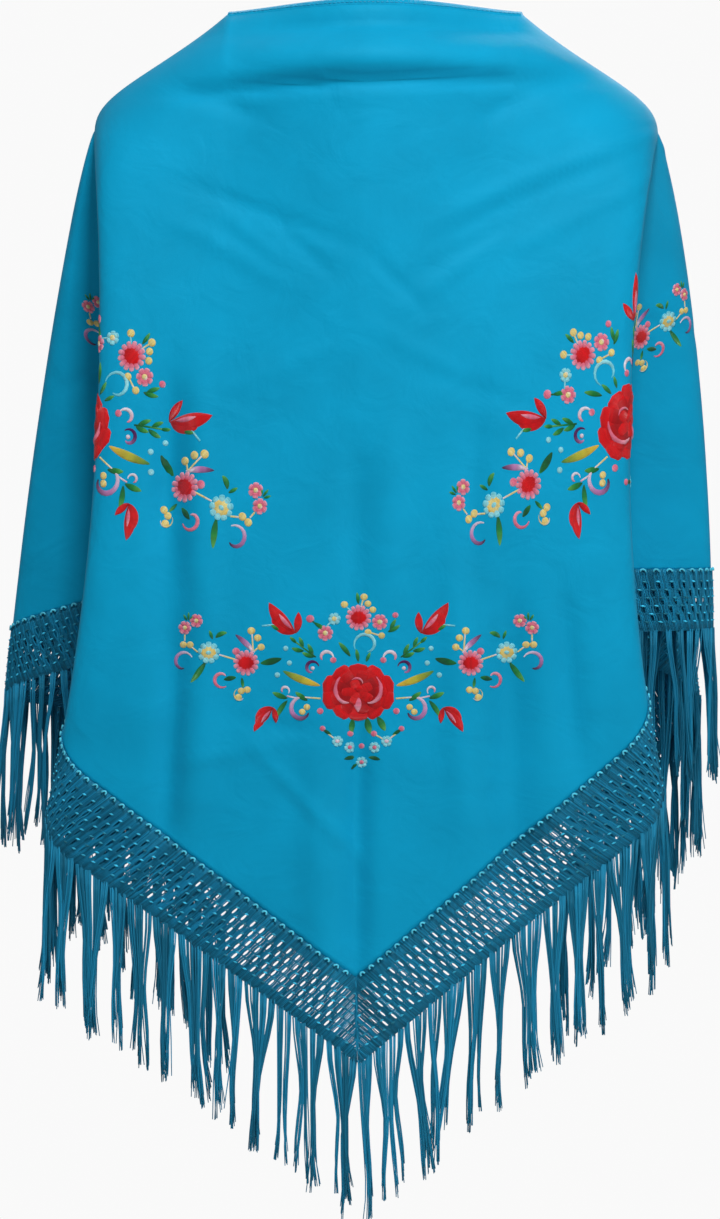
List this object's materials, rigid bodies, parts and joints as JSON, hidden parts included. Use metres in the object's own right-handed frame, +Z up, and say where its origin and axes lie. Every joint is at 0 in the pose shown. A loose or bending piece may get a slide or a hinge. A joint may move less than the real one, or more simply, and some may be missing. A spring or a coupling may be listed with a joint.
{
  "type": "embroidered shawl",
  "caption": "Triangular embroidered shawl with a knotted lace band and long fringe, in the hollow form it has when worn over the shoulders.",
  "frame": {"origin": "midway between the shoulders, at the mid height of the two shoulder ridges, where the wearer carries the shawl", "axes": "+Z up, +X to the right as the back is seen, +Y from the back to the open front"},
  "size_m": [0.5932, 0.2701, 0.9848],
  "materials": {
    "cloth": "soft satin crepe",
    "lace": "glossy knotted thread",
    "fringe": "glossy rayon thread"
  },
  "bodies": {
    "root": {"shawl_cloth": "cloth", "lace_left": "lace", "lace_right": "lace", "fringe_left": "fringe", "fringe_right": "fringe"}
  },
  "joints": []
}
